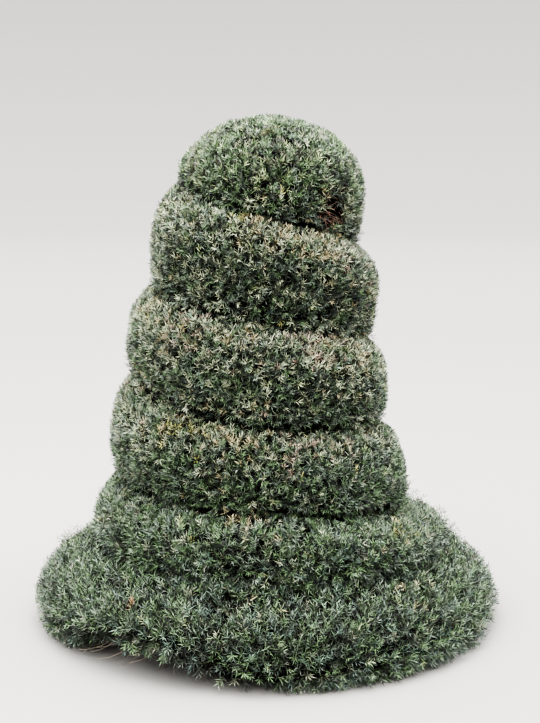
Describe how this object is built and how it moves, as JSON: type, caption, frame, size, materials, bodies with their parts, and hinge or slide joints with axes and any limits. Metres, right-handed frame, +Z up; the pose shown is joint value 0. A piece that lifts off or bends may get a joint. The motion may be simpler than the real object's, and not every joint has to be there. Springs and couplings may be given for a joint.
{
  "type": "spiral topiary",
  "caption": "Evergreen shrub clipped into a spiral: a rounded dome above a coil of dense needles that winds down round a bowed trunk to a full skirt at the ground.",
  "frame": {"origin": "centre of the flat cut under the trunk, at ground level", "axes": "+Z up, the front of the plant towards -Y, +X to the right as seen from the front"},
  "size_m": [1.6554, 1.6519, 1.8013],
  "materials": {
    "bark": "dry, fibrous, reddish brown bark in thin vertical flakes",
    "clipped_needles": "dark glossy needles in short sprays, clipped close, with tan cut tips on the upper shoulders",
    "skirt_needles": "longer, softer needles of a bluer and paler green, with unclipped shoots"
  },
  "bodies": {
    "root": {"trunk": "bark", "dome": "clipped_needles", "coil_1": "clipped_needles", "coil_2": "clipped_needles", "coil_3": "clipped_needles", "coil_4": "clipped_needles", "coil_5": "clipped_needles", "coil_6": "clipped_needles", "coil_7": "clipped_needles", "coil_8": "clipped_needles", "coil_9": "clipped_needles", "coil_10": "clipped_needles", "coil_11": "clipped_needles", "coil_12": "clipped_needles", "coil_13": "clipped_needles", "skirt_front_left": "skirt_needles", "skirt_front_right": "skirt_needles", "skirt_back_right": "skirt_needles", "skirt_back_left": "skirt_needles", "bough_coil_1": "bark", "bough_coil_2": "bark", "bough_coil_3": "bark", "bough_coil_4": "bark", "bough_coil_5": "bark", "bough_coil_6": "bark", "bough_coil_7": "bark", "bough_coil_8": "bark", "bough_coil_9": "bark", "bough_coil_10": "bark", "bough_coil_11": "bark", "bough_coil_12": "bark", "bough_coil_13": "bark", "bough_skirt_front_left": "bark", "bough_skirt_front_right": "bark", "bough_skirt_back_right": "bark", "bough_skirt_back_left": "bark"}
  },
  "joints": []
}
